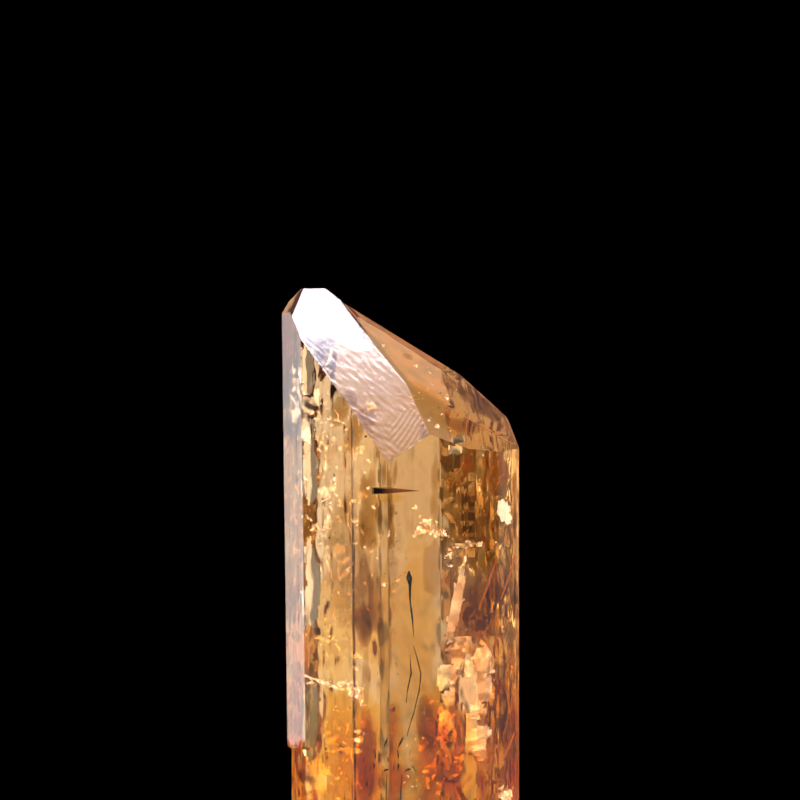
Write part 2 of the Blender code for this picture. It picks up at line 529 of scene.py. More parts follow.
# The flaws inside: fresh cleavage cracks, which are thin gaps of air, and small flakes of gap.
# They mirror the lights around the crystal. Each is placed where it shows through the faces in
# front of it, so the line of sight is bent at the skin as the stone bends it.
TOPAZ_IOR = 1.62
GAP = 0.012
FLAW_CRINKLE = 0.35
EYE = Vector((0.0, -VIEW_DISTANCE, VIEW_HEIGHT))
GRAZING = 0.01

# Flaws keep this far from the skin and from the deepest of its relief, and from the ledge, whose
# place and top these are. The soft light in front of the crystal stands this many degrees high.
CLEARANCE = 0.10
RELIEF_REACH = 2.5
LEDGE_REACH = (-5.35, 8.2)
FILL_ELEVATION = 28.0

end_planes = [(normal_of(azimuth, dip), Vector(point)) for azimuth, dip, point in TERMINATION.values()]
end_planes.append((Vector((0.0, 0.0, -1.0)), Vector((0.0, 0.0, 0.0))))
side_planes = []
corner_spots = [Vector((*spot, 0.0)) for spot in CORNERS.values()]
for name, start, end in zip(CORNERS, corner_spots, corner_spots[1:] + corner_spots[:1]):
    along = (end - start).normalized()
    spare = CLEARANCE + sum(SIDES[name][2:]) * RELIEF_REACH
    side_planes.append((Vector((along.y, -along.x, 0.0)), start, spare))
outer_planes = end_planes + [(normal, start) for normal, start, _ in side_planes]


def bent(ray, normal):
    """A ray as it goes on inside the stone."""
    cosine = -ray.dot(normal)
    inner_cosine = math.sqrt(1.0 - (1.0 - cosine * cosine) / TOPAZ_IOR**2)
    return ray / TOPAZ_IOR + normal * (cosine / TOPAZ_IOR - inner_cosine)


def sight_line(column, row):
    """Where the line of sight at a pixel enters the stone, the face there and how it goes on."""
    across = (column - HALF_FRAME) * PIXEL
    up = VIEW_HEIGHT + (HALF_FRAME - row) * PIXEL
    ray = (Vector((across, 0.0, up)) - EYE).normalized()
    facing = [(normal, point) for normal, point in outer_planes if ray.dot(normal) < -GRAZING]
    reaches = [(point - EYE).dot(normal) / ray.dot(normal) for normal, point in facing]
    entered = reaches.index(max(reaches))
    normal = facing[entered][0]
    return EYE + ray * max(reaches), normal, bent(ray, normal)


def to_front(column, row, elevation=FILL_ELEVATION):
    """The direction inside the stone, at a pixel, towards this elevation in front of it."""
    _, normal, _ = sight_line(column, row)
    return -bent(-normal_of(0.0, 90.0 - elevation), normal)


def well_inside(place):
    """Whether a place lies inside the stone with some way to spare."""
    if place.x < LEDGE_REACH[0] + CLEARANCE and place.z < LEDGE_REACH[1]:
        return False
    pivot = Vector((*CORNERS["right"], place.z))
    drawn = pivot + (place - pivot) / (1.0 + TAPER * (place.z - SHOULDER_HEIGHT))
    if any((drawn - point).dot(normal) > -spare for normal, point, spare in side_planes):
        return False
    return all((place - point).dot(normal) < -CLEARANCE for normal, point in end_planes)


def layered(place, shift, coarse, fine, share):
    """Noise in two sizes, so many cells of each for a millimetre."""
    return noise.noise(place * coarse + shift) + share * noise.noise(place * fine + shift)


def placed(part, place, normal, roll):
    """Turns a flat shape square to a direction and moves it into place."""
    turn = normal.to_track_quat("Z", "Y").to_matrix() @ Matrix.Rotation(math.radians(roll), 3, "Z")
    bmesh.ops.rotate(part, cent=(0.0, 0.0, 0.0), matrix=turn, verts=part.verts)
    bmesh.ops.translate(part, vec=place, verts=part.verts)


# A crack's sheet: its grid, how far the grid is jogged, and the noise that tears its outline,
# opens holes in it and crumples it
SHEET_CELL = 0.14
SHEET_JOG = 0.3
SHEET_REACH = 0.95
TEAR_DEPTH = 0.5
TEAR_NOISE = (0.9, 2.6, 0.5)
HOLE_LEVEL = 0.9
HOLE_NOISE = (1.3, 3.1, 0.4)
WAVE_CELLS = (0.55, 1.3, 3.0)


def ragged_sheet(place, normal, size, roll, waves, holes, seed):
    """A crumpled sheet with a ragged outline, square to a direction and kept inside the stone."""
    rng = random.Random(seed)
    shift = Vector([rng.uniform(0.0, 50.0) for _ in range(3)])
    part = bmesh.new()
    columns, rows = [max(3, round(reach / SHEET_CELL)) for reach in size]
    bmesh.ops.create_grid(part, x_segments=columns, y_segments=rows, size=0.5)
    torn = []
    for vert in part.verts:
        reach = 2.0 * vert.co.length
        vert.co.x = (vert.co.x + rng.uniform(-SHEET_JOG, SHEET_JOG) / columns) * size[0]
        vert.co.y = (vert.co.y + rng.uniform(-SHEET_JOG, SHEET_JOG) / rows) * size[1]
        edge = layered(vert.co, shift, *TEAR_NOISE)
        hole = layered(vert.co, -shift, *HOLE_NOISE)
        if reach > SHEET_REACH + TEAR_DEPTH * edge or hole > HOLE_LEVEL - holes:
            torn.append(vert)
    bmesh.ops.delete(part, geom=torn, context="VERTS")
    for vert in part.verts:
        layers = [noise.noise(vert.co * cells + shift) for cells in WAVE_CELLS]
        vert.co.z = sum(wave * layer for wave, layer in zip(waves, layers))
    placed(part, place, normal, roll)
    unwanted = [vert for vert in part.verts if not well_inside(vert.co)]
    while True:
        bmesh.ops.delete(part, geom=unwanted, context="VERTS")
        wires = [edge for edge in part.edges if edge.is_wire]
        bmesh.ops.delete(part, geom=wires, context="EDGES")
        unwanted = [
            vert
            for vert in part.verts
            if not vert.link_faces or sum(edge.is_boundary for edge in vert.link_edges) > 2
        ]
        if not unwanted:
            return part


def hollowed(part):
    """Turns a closed shape inside out and sets it in the stone as a hollow."""
    bmesh.ops.recalc_face_normals(part, faces=part.faces)
    bmesh.ops.reverse_faces(part, faces=part.faces)
    flaw = part.verts.layers.float.new("flaw")
    for vert in part.verts:
        vert[flaw] = FLAW_CRINKLE
    data = mesh_from(part, "hollow")
    crystal_mesh.from_mesh(data)
    bpy.data.meshes.remove(data)


def crack(column, row, depth, towards, size, roll, waves, holes, seed):
    """A thin gap of air that shows at a pixel and mirrors what lies where it is told to."""
    entry, _, ray = sight_line(column, row)
    if not isinstance(towards, Vector):
        towards = to_front(column, row, towards)
    normal = (towards.normalized() - ray).normalized()
    part = ragged_sheet(entry + ray * depth, normal, size, roll, waves, holes, seed)
    bmesh.ops.solidify(part, geom=part.faces[:], thickness=GAP)
    hollowed(part)


FLAKE_SIDES = 9
FLAKE_OUTLINE = (0.65, 1.1)
FLAKE_BULGE = 0.04


def flake(place, normal, size, roll, rng):
    """A small flat gap with an uneven outline and a slightly raised middle."""
    if not well_inside(place):
        return
    part = bmesh.new()
    bmesh.ops.create_circle(part, cap_ends=True, cap_tris=True, segments=FLAKE_SIDES, radius=0.5)
    for vert in part.verts:
        vert.co *= rng.uniform(*FLAKE_OUTLINE)
        vert.co.z = rng.uniform(-FLAKE_BULGE, FLAKE_BULGE)
    bmesh.ops.scale(part, vec=(size[0], size[1], min(size)), verts=part.verts)
    placed(part, place, normal, roll)
    if all(well_inside(vert.co) for vert in part.verts):
        bmesh.ops.solidify(part, geom=part.faces[:], thickness=GAP)
        hollowed(part)
    else:
        part.free()


crystal_mesh.verts.layers.float.new("flaw")

# White glints: pixel, depth and width. Each is a small flake of gap, turned to mirror the soft
# light in front of the crystal
GLINTS = {
    "under_front_face": (369, 461, 1.5, 0.34),
    "over_slit_upper": (365, 474, 1.5, 0.26),
    "over_slit": (368, 488, 1.3, 0.30),
    "under_slit": (374, 507, 1.6, 0.34),
    "by_front_edge": (388, 533, 1.0, 0.40),
    "low_by_edge": (383, 585, 1.5, 0.34),
    "left_top": (345, 445, 2.5, 0.34),
    "left_dot": (323, 477, 2.0, 0.24),
    "left_dash": (331, 510, 2.0, 0.36),
    "patch_left": (314, 529, 2.0, 0.50),
    "patch_mid": (327, 527, 2.0, 0.40),
    "patch_right": (364, 531, 1.8, 0.50),
    "left_low": (319, 544, 2.0, 0.26),
    "left_lower": (328, 557, 2.0, 0.40),
    "mid_low": (377, 558, 1.8, 0.22),
    "mid_lower": (372, 575, 1.8, 0.26),
    "low_glint": (367, 609, 1.8, 0.30),
    "blob": (312, 573, 1.4, 0.40),
    "line_end": (347, 569, 1.4, 0.30),
    "column_top": (415, 507, 2.2, 0.36),
    "right_spot": (439, 684, 2.0, 0.34),
    "right_upper": (455, 647, 2.0, 0.50),
    "right_mid": (482, 642, 1.6, 0.36),
    "right_lower": (487, 656, 1.6, 0.36),
    "front_face_foot": (412, 447, 0.6, 0.32),
    "slope_spot": (416, 366, 1.2, 0.34),
    "slope_streak": (430, 372, 1.2, 0.26),
    "slope_low": (447, 398, 1.2, 0.34),
    "slope_glow": (437, 426, 1.2, 0.36),
    "slope_dim": (383, 345, 1.2, 0.26),
}
FLAKE_SEED = 21
QUARTER_TURN = 90.0
HALF_TURN = 180.0
flake_rng = random.Random(FLAKE_SEED)
for column, row, depth, width in GLINTS.values():
    entry, _, ray = sight_line(column, row)
    normal = (to_front(column, row) - ray).normalized()
    roll = flake_rng.uniform(0.0, QUARTER_TURN)
    flake(entry + ray * depth, normal, (width, width), roll, flake_rng)

# Clusters of flakes: pixel, half width and half height in pixels, depth, number and mean width.
# They lie about as the glints do, with some scatter in place, lean, depth and size.
CLUSTERS = {
    "white_patch": (423, 529, 9, 8, 1.8, 40, 0.30),
    "white_patch_tail": (440, 533, 8, 5, 1.8, 22, 0.26),
    "spark_row": (468, 545, 14, 3, 1.8, 20, 0.20),
    "yellow_patch": (450, 557, 4, 6, 1.6, 12, 0.26),
    "left_sparks": (318, 528, 12, 8, 2.0, 24, 0.22),
    "middle_sparks": (366, 540, 14, 14, 2.0, 20, 0.18),
    "upper_left_glow": (318, 420, 14, 36, 1.8, 50, 0.30),
    "upper_left_band": (296, 400, 8, 50, 0.8, 40, 0.26),
    "left_blob": (355, 692, 8, 6, 1.2, 40, 0.34),
    "left_streak": (325, 683, 20, 2, 1.2, 40, 0.28),
    "left_ladder": (358, 739, 5, 8, 1.2, 14, 0.26),
    "right_patch": (472, 662, 20, 20, 1.3, 22, 0.24),
    "right_foot": (506, 794, 6, 6, 0.8, 16, 0.34),
    "left_centre": (335, 600, 22, 60, 2.0, 60, 0.14),
    "left_foot": (345, 750, 26, 50, 2.0, 50, 0.16),
    "front_foot": (430, 750, 26, 50, 2.0, 50, 0.16),
    "slope_specks": (440, 400, 30, 26, 1.0, 30, 0.14),
}
CLUSTER_SPREAD = 0.6
CLUSTER_LEAN = 0.14
CLUSTER_DEPTH = 0.5
CLUSTER_SIZES = (0.5, 1.5)
for column, row, half_width, half_height, depth, number, width in CLUSTERS.values():
    for _ in range(number):
        here = column + flake_rng.gauss(0.0, CLUSTER_SPREAD) * half_width
        there = row + flake_rng.gauss(0.0, CLUSTER_SPREAD) * half_height
        entry, _, ray = sight_line(here, there)
        lean = Vector([flake_rng.gauss(0.0, CLUSTER_LEAN) for _ in range(3)])
        normal = (to_front(here, there) + lean - ray).normalized()
        size = [width * flake_rng.uniform(*CLUSTER_SIZES) for _ in range(2)]
        place = entry + ray * (depth + flake_rng.uniform(-CLUSTER_DEPTH, CLUSTER_DEPTH))
        flake(place, normal, size, flake_rng.uniform(0.0, HALF_TURN), flake_rng)

# Swarms of flakes that lie every way, where the stone is crazed: centre, half sizes, number and
# mean size, all in millimetres
SWARMS = {
    "left": ((-2.9, -0.4, 19.0), (1.9, 2.0, 6.5), 24, 0.14),
    "right": ((3.3, -0.3, 15.5), (1.6, 1.4, 6.0), 20, 0.14),
    "slope": ((1.6, -0.4, 24.6), (2.2, 1.4, 1.6), 12, 0.14),
}
SWARM_SPREAD = 0.55
SWARM_LIMIT = 1.2
SWARM_WIDTHS = (0.4, 1.3)
SWARM_LENGTHS = (0.8, 2.4)
SWARM_ROLL = 30.0
for centre, reach, number, width in SWARMS.values():
    for _ in range(number):
        scatter = [flake_rng.gauss(0.0, SWARM_SPREAD) for _ in reach]
        offset = [half * max(-SWARM_LIMIT, min(SWARM_LIMIT, value)) for half, value in zip(reach, scatter)]
        normal = Vector([flake_rng.gauss(0.0, 1.0) for _ in range(3)]).normalized()
        size = (width * flake_rng.uniform(*SWARM_WIDTHS), width * flake_rng.uniform(*SWARM_LENGTHS))
        roll = flake_rng.uniform(-SWARM_ROLL, SWARM_ROLL)
        flake(Vector(centre) + Vector(offset), normal, size, roll, flake_rng)

# Ladders: short level cracks one above the other, so many pixels apart: pixel of the top one,
# depth, number and width
LADDERS = {
    "right": (476, 708, 0.9, 5, 0.90),
    "left": (358, 731, 1.2, 3, 0.60),
}
RUNG_STEP = 10
RUNG_HEIGHT = 0.30
RUNG_WIDTHS = (0.8, 1.1)
RUNG_ROLL = 8.0
for column, row, depth, number, width in LADDERS.values():
    for step in range(number):
        entry, _, ray = sight_line(column, row + RUNG_STEP * step)
        normal = (to_front(column, row) - ray).normalized()
        size = (width * flake_rng.uniform(*RUNG_WIDTHS), RUNG_HEIGHT)
        roll = flake_rng.uniform(-RUNG_ROLL, RUNG_ROLL)
        flake(entry + ray * depth, normal, size, roll, flake_rng)

# Larger cracks: pixel, depth, what they mirror, size, roll and waviness. They mirror what lies in
# front at an elevation in degrees, the brightest at the soft light's own, or what lies towards
# a direction inside the stone: out through its left or right back side, or up through its top.
CRACK_SEED = 30
FINE_WAVE_SHARE = 0.3
TO_LEFT = Vector((-0.906, 0.423, 0.0))
TO_RIGHT = Vector((0.866, 0.500, 0.0))
TO_TOP = Vector((0.0, 0.1, 1.0))
CRACKS = {
    "upper_left": (306, 408, 1.1, FILL_ELEVATION, (1.5, 3.6), 0.0, 0.03),
    "upper_left_inner": (328, 452, 2.2, FILL_ELEVATION, (1.6, 2.2), 0.0, 0.08),
    "left_band_upper": (293, 396, 0.5, FILL_ELEVATION, (1.2, 3.2), 0.0, 0.05),
    "left_strip_top": (308, 365, 0.8, TO_LEFT, (1.6, 3.0), 0.0, 0.015),
    "left_strip_upper": (310, 470, 1.0, TO_LEFT, (1.6, 5.4), 0.0, 0.015),
    "left_strip_middle": (311, 590, 1.0, TO_LEFT, (1.6, 5.4), 0.0, 0.015),
    "left_strip_lower": (311, 710, 1.0, TO_LEFT, (1.6, 5.4), 0.0, 0.015),
    "streak_blob": (355, 692, 1.6, FILL_ELEVATION, (1.4, 1.2), -10.0, 0.04),
    "peach_finger": (456, 606, 0.9, 17.0, (0.8, 5.0), -10.0, 0.02),
    "left_streak": (327, 684, 1.1, FILL_ELEVATION, (3.6, 0.42), -16.0, 0.03),
    "by_front_face": (330, 362, 1.0, TO_LEFT, (1.2, 1.8), 0.0, 0.015),
    "right_patch_upper": (462, 657, 1.6, 18.0, (2.2, 2.0), 0.0, 0.02),
    "right_patch_lower": (484, 676, 1.1, 18.0, (1.4, 3.4), 0.0, 0.02),
    "right_patch_left": (446, 676, 1.8, 20.0, (1.2, 1.4), 0.0, 0.03),
    "ladder_glow": (477, 730, 1.2, 18.0, (1.6, 3.4), 0.0, 0.04),
    "right_foot_glow": (468, 780, 1.4, TO_RIGHT, (1.6, 2.4), 0.0, 0.04),
    "right_foot_deep": (446, 735, 3.0, TO_RIGHT, (1.9, 4.0), 0.0, 0.06),
    "right_glow": (470, 700, 1.6, TO_RIGHT, (2.4, 6.0), 0.0, 0.04),
    "white_facet": (506, 511, 0.4, FILL_ELEVATION, (0.9, 1.6), 28.0, 0.01),
    "right_foot_blob": (506, 795, 0.6, FILL_ELEVATION, (0.8, 0.9), 0.0, 0.04),
    "orange_band": (457, 476, 2.0, TO_TOP, (0.9, 1.6), -20.0, 0.04),
    "right_top_glow": (455, 450, 2.0, TO_RIGHT, (1.6, 0.7), 0.0, 0.10),
    "right_row": (465, 545, 1.6, FILL_ELEVATION, (1.6, 0.50), 4.0, 0.05),
    "white_patch": (422, 529, 1.8, FILL_ELEVATION, (1.1, 1.0), 0.0, 0.08),
    "left_foot_glow": (312, 785, 1.2, 18.0, (1.6, 4.4), 0.0, 0.03),
    "right_patch_foot": (451, 712, 1.4, 18.0, (1.5, 2.4), 0.0, 0.03),
}
for number, (*where, size, roll, wave) in enumerate(CRACKS.values()):
    waves = (wave, wave, FINE_WAVE_SHARE * wave)
    crack(*where, size, roll, waves, 0.0, CRACK_SEED + number)

# Veils: wide crumpled cracks, half healed, that mirror the soft light in front: pixel, depth,
# size and share of holes
VEIL_SEED = 60
VEIL_WAVES = (0.20, 0.10, 0.04)
VEILS = {
    "left_upper": (335, 470, 2.6, (4.0, 7.0), 0.45),
    "left_middle": (335, 600, 3.2, (3.6, 7.0), 0.50),
    "left_foot": (345, 750, 2.4, (4.0, 5.0), 0.40),
    "front_foot": (440, 750, 2.4, (3.4, 5.0), 0.40),
}
for number, (*where, size, holes) in enumerate(VEILS.values()):
    crack(*where, FILL_ELEVATION, size, 0.0, VEIL_WAVES, holes, VEIL_SEED + number)

# The sides that grew against other crystals are etched all over; the front ones are not
SKIN_ETCH = 0.5
SKIN_ETCH_LEVEL = 0.5
SKIN_ETCH_CELLS = 0.8
FACING_BACK = 0.2
FACING_UP = 0.3
SHARP_ANGLE = 24.0
crystal_mesh.normal_update()
flaw = crystal_mesh.verts.layers.float["flaw"]
for vert in crystal_mesh.verts:
    if vert[flaw] == 0.0 and vert.normal.y > FACING_BACK and abs(vert.normal.z) < FACING_UP:
        vert[flaw] = SKIN_ETCH * (SKIN_ETCH_LEVEL + noise.noise(vert.co * SKIN_ETCH_CELLS))
bmesh.ops.scale(crystal_mesh, vec=(MM, MM, MM), verts=crystal_mesh.verts)
crystal_data = mesh_from(crystal_mesh, "topaz_crystal")
crystal_data.shade_smooth()
crystal_data.set_sharp_from_angle(angle=math.radians(SHARP_ANGLE))
crystal = bpy.data.objects.new("topaz_crystal", crystal_data)
bpy.context.scene.collection.objects.link(crystal)

# Imperial topaz, grown in a cavity: colourless to transmit, with the golden orange in its depth,
# so thin parts are pale and long paths glow orange. Its skin is glossy with faint fine striae and
# duller patches, and its cracks and etched sides are crinkled, which breaks their gleam up.
TOPAZ_DEPTH_COLOUR = "F2CD38"
TOPAZ_DEPTH_DENSITY = 165.0
CLEAR = "FFFFFF"
RUSTY = "FFF1E2"
STRIA_WIDTH = 0.10
STRIA_LENGTH = 5.0
STRIA_DEPTH = 0.0016
CRINKLE_WIDTH = 0.22
CRINKLE_DEPTH = 0.008
FLAW_ROUGHNESS = 0.15
DULL_PATCH_WIDTH = 2.5
DULL_PATCH_RANGE = (0.45, 0.75)
DULL_ROUGHNESS = 0.03


def linear(colour):
    """An sRGB hex colour as linear RGBA."""
    parts = [int(colour[place : place + 2], 16) / 255.0 for place in (0, 2, 4)]
    return (*[p / 12.92 if p <= 0.04045 else ((p + 0.055) / 1.055) ** 2.4 for p in parts], 1.0)


def scale_for(width):
    """The scale of a pattern whose features are so many millimetres wide."""
    return 1.0 / (width * MM)


def add_node(tree, kind, settings=None, links=None):
    """Adds a node, sets its properties and inputs, and links outputs to its inputs."""
    node = tree.nodes.new(kind)
    for name, value in (settings or {}).items():
        if isinstance(name, str) and hasattr(node, name):
            setattr(node, name, value)
        else:
            node.inputs[name].default_value = value
    for name, output in (links or {}).items():
        tree.links.new(output, node.inputs[name])
    return node


topaz = bpy.data.materials.new("imperial_topaz")
topaz.use_nodes = True
tree = topaz.node_tree
shader = tree.nodes["Principled BSDF"]
shader.inputs["IOR"].default_value = TOPAZ_IOR
shader.inputs["Transmission Weight"].default_value = 1.0
where = add_node(tree, "ShaderNodeTexCoord").outputs["Object"]
stria_scale = [scale_for(width) for width in (STRIA_WIDTH, STRIA_WIDTH, STRIA_LENGTH)]
drawn = add_node(tree, "ShaderNodeMapping", {"Scale": stria_scale}, {"Vector": where})
fine = {"Scale": 1.0, "Detail": 2.0}
striae = add_node(tree, "ShaderNodeTexNoise", fine, {"Vector": drawn.outputs[0]})
creased = {"Scale": scale_for(CRINKLE_WIDTH), "Detail": 3.0}
crinkle = add_node(tree, "ShaderNodeTexNoise", creased, {"Vector": where})
flawed = add_node(tree, "ShaderNodeAttribute", {"attribute_name": "flaw"})
crinkled = add_node(
    tree,
    "ShaderNodeMath",
    {"operation": "MULTIPLY"},
    {0: crinkle.outputs["Fac"], 1: flawed.outputs["Fac"]},
)
crumpling = add_node(
    tree, "ShaderNodeBump", {"Distance": CRINKLE_DEPTH * MM}, {"Height": crinkled.outputs[0]}
)
bump = add_node(
    tree,
    "ShaderNodeBump",
    {"Distance": STRIA_DEPTH * MM},
    {"Height": striae.outputs["Fac"], "Normal": crumpling.outputs["Normal"]},
)
tree.links.new(bump.outputs["Normal"], shader.inputs["Normal"])
patchy = {"Scale": scale_for(DULL_PATCH_WIDTH), "Detail": 3.0}
dulled = add_node(tree, "ShaderNodeTexNoise", patchy, {"Vector": where})
gloss = add_node(
    tree,
    "ShaderNodeMapRange",
    {"From Min": DULL_PATCH_RANGE[0], "From Max": DULL_PATCH_RANGE[1], "To Max": DULL_ROUGHNESS},
    {"Value": dulled.outputs["Fac"]},
)
etched = add_node(
    tree,
    "ShaderNodeMath",
    {"operation": "MULTIPLY_ADD", 1: FLAW_ROUGHNESS},
    {0: flawed.outputs["Fac"], 2: gloss.outputs["Result"]},
)
tree.links.new(etched.outputs[0], shader.inputs["Roughness"])
tint = add_node(
    tree,
    "ShaderNodeMix",
    {"data_type": "RGBA", 6: linear(CLEAR), 7: linear(RUSTY)},
    {0: dulled.outputs["Fac"]},
)
tree.links.new(tint.outputs[2], shader.inputs["Base Color"])
depth_colour = add_node(
    tree,
    "ShaderNodeVolumeAbsorption",
    {"Color": linear(TOPAZ_DEPTH_COLOUR), "Density": TOPAZ_DEPTH_DENSITY},
)
tree.links.new(depth_colour.outputs[0], tree.nodes["Material Output"].inputs["Volume"])
crystal_data.materials.append(topaz)

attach(crystal, "root")
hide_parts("crystal")

# Growth tubes, which are fine hollow threads along the crystal filled with near-black earth, and
# rust seams, where iron-stained earth fills hairline cracks. Pixel, depth and radius of each stop.
TUBES = {
    "upper": (
        (409, 571, 1.9, 0.04), (409, 578, 1.9, 0.15), (410, 585, 1.9, 0.07),
        (410, 600, 2.0, 0.04), (412, 618, 2.1, 0.035), (413, 636, 2.2, 0.015),
    ),
    "outer_branch": (
        (413, 646, 2.0, 0.015), (417, 658, 2.0, 0.03), (421, 674, 2.0, 0.03),
        (419, 692, 2.0, 0.03), (413, 714, 2.0, 0.025), (407, 736, 2.0, 0.015),
    ),
    "inner_branch": (
        (410, 654, 2.1, 0.015), (411, 674, 2.1, 0.035), (408, 688, 2.1, 0.03), (406, 703, 2.1, 0.015),
    ),
    "foot": ((403, 737, 1.8, 0.02), (401, 742, 1.8, 0.06), (398, 748, 1.8, 0.015)),
    "foot_line": ((402, 774, 1.8, 0.015), (401, 790, 1.8, 0.03), (400, 830, 1.8, 0.015)),
    "slit_end": ((374, 489, 0.3, 0.05), (378, 490, 0.3, 0.13), (383, 490, 0.4, 0.06)),
}
SEAMS = {
    "slope": (
        (414, 389, 0.30, 0.010), (440, 403, 0.30, 0.018), (467, 418, 0.30, 0.028),
        (492, 432, 0.30, 0.045), (511, 443, 0.25, 0.020),
    ),
    "slope_branch": ((467, 420, 0.30, 0.020), (466, 432, 0.30, 0.025), (465, 445, 0.30, 0.012)),
    "right_upper": ((503, 474, 0.30, 0.020), (498, 483, 0.35, 0.035), (493, 493, 0.40, 0.015)),
    "right_middle": ((516, 556, 0.30, 0.020), (509, 577, 0.35, 0.085), (501, 599, 0.40, 0.020)),
    "right_inner": ((497, 558, 0.60, 0.020), (488, 585, 0.60, 0.070), (479, 609, 0.60, 0.020)),
    "right_foot": ((514, 733, 0.30, 0.020), (509, 746, 0.35, 0.100), (503, 761, 0.40, 0.020)),
    "band_upper": ((464, 462, 1.0, 0.020), (457, 474, 1.0, 0.045), (451, 488, 1.0, 0.020)),
    "level_upper": ((446, 521, 1.2, 0.012), (464, 520, 1.2, 0.025), (482, 520, 1.2, 0.012)),
    "level_lower": ((446, 540, 1.2, 0.012), (464, 539, 1.2, 0.025), (482, 539, 1.2, 0.012)),
    "left_level": ((323, 571, 0.6, 0.010), (336, 572, 0.6, 0.018), (347, 570, 0.6, 0.012)),
}
THREAD_SIDES = 8

# Earthy iron oxide, a dull crumbly powder: near-black in the tubes and rust orange in the seams.
# It turns from one colour to another from one place to another along X.
EARTH_SHEEN = 0.10
EARTH_ROUGHNESS = (0.6, 0.9)
CRUMB_WIDTH = 0.25
CRUMB_HEIGHT = 0.02
TUBE_COLOURS = ("0C0805", "1A0E07")
SEAM_COLOURS = ("D9682A", "F08A3C")
EARTH_SPAN = (-3.0, 3.0)


def add_thread(part, stops):
    """Adds a closed thread through a few places, each with its own width."""
    ring = bmesh.ops.create_circle(part, cap_ends=True, segments=THREAD_SIDES, radius=stops[0][3])["verts"]
    here = Vector((0.0, 0.0, 0.0))
    width = stops[0][3]
    for number, (column, row, depth, radius) in enumerate(stops):
        entry, _, ray = sight_line(column, row)
        place = entry + ray * depth
        if number:
            rim = [
                edge
                for edge in unique(edge for vert in ring for edge in vert.link_edges)
                if edge.is_boundary and all(vert in ring for vert in edge.verts)
            ]
            grown = bmesh.ops.extrude_edge_only(part, edges=rim)["geom"]
            ring = [item for item in grown if isinstance(item, bmesh.types.BMVert)]
        bmesh.ops.translate(part, vec=place - here, verts=ring)
        share = radius / width
        bmesh.ops.scale(part, vec=(share, share, 1.0), space=Matrix.Translation(-place), verts=ring)
        here, width = place, radius
    bmesh.ops.contextual_create(part, geom=[edge for edge in part.edges if edge.is_boundary])


def earth_piece(name, part, colours, span):
    """A piece of earth that lies in the stone."""
    bmesh.ops.recalc_face_normals(part, faces=part.faces)
    bmesh.ops.scale(part, vec=(MM, MM, MM), verts=part.verts)
    piece = bpy.data.objects.new(name, mesh_from(part, name))
    bpy.context.scene.collection.objects.link(piece)
    material = bpy.data.materials.new(f"iron_earth_in_{name}")
    material.use_nodes = True
    tree = material.node_tree
    shader = tree.nodes["Principled BSDF"]
    shader.inputs["Specular IOR Level"].default_value = EARTH_SHEEN
    where = add_node(tree, "ShaderNodeTexCoord").outputs["Object"]
    crumbly = {"Scale": scale_for(CRUMB_WIDTH), "Detail": 4.0}
    crumbs = add_node(tree, "ShaderNodeTexNoise", crumbly, {"Vector": where}).outputs["Fac"]
    place = add_node(tree, "ShaderNodeSeparateXYZ", None, {"Vector": where})
    along = {"From Min": span[0] * MM, "From Max": span[1] * MM}
    turning = add_node(tree, "ShaderNodeMapRange", along, {"Value": place.outputs["X"]})
    stain = add_node(
        tree,
        "ShaderNodeMix",
        {"data_type": "RGBA", 6: linear(colours[0]), 7: linear(colours[1])},
        {0: turning.outputs["Result"]},
    )
    relief = add_node(tree, "ShaderNodeBump", {"Distance": CRUMB_HEIGHT * MM}, {"Height": crumbs})
    dull = {"To Min": EARTH_ROUGHNESS[0], "To Max": EARTH_ROUGHNESS[1]}
    crust = add_node(tree, "ShaderNodeMapRange", dull, {"Value": crumbs})
    tree.links.new(stain.outputs[2], shader.inputs["Base Color"])
    tree.links.new(relief.outputs["Normal"], shader.inputs["Normal"])
    tree.links.new(crust.outputs["Result"], shader.inputs["Roughness"])
    piece.data.materials.append(material)
    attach(piece, "root")


tubes = bmesh.new()
for stops in TUBES.values():
    add_thread(tubes, stops)
earth_piece("growth_tubes", tubes, TUBE_COLOURS, EARTH_SPAN)
seams = bmesh.new()
for stops in SEAMS.values():
    add_thread(seams, stops)
earth_piece("rust_seams", seams, SEAM_COLOURS, EARTH_SPAN)

# Earth washed into the open slit: near-black at its blunt end, rust orange where it closes. It
# fills nearly the whole slit and ends a little short of the crystal's two front sides.
FILL_SHARE = (0.97, 0.90, 0.86)
FILL_SETBACK = 0.02
FILL_INSET = 0.05
FILL_COLOURS = ("060302", "8E4A22")
FILL_SPAN = (-0.95, 0.10)
earth = level_wedge(*FILL_SHARE, FILL_SETBACK)
for outward, start, _ in side_planes[1:3]:
    cut_by(earth, outward, start - outward * FILL_INSET)
earth_piece("slit_fill", earth, FILL_COLOURS, FILL_SPAN)

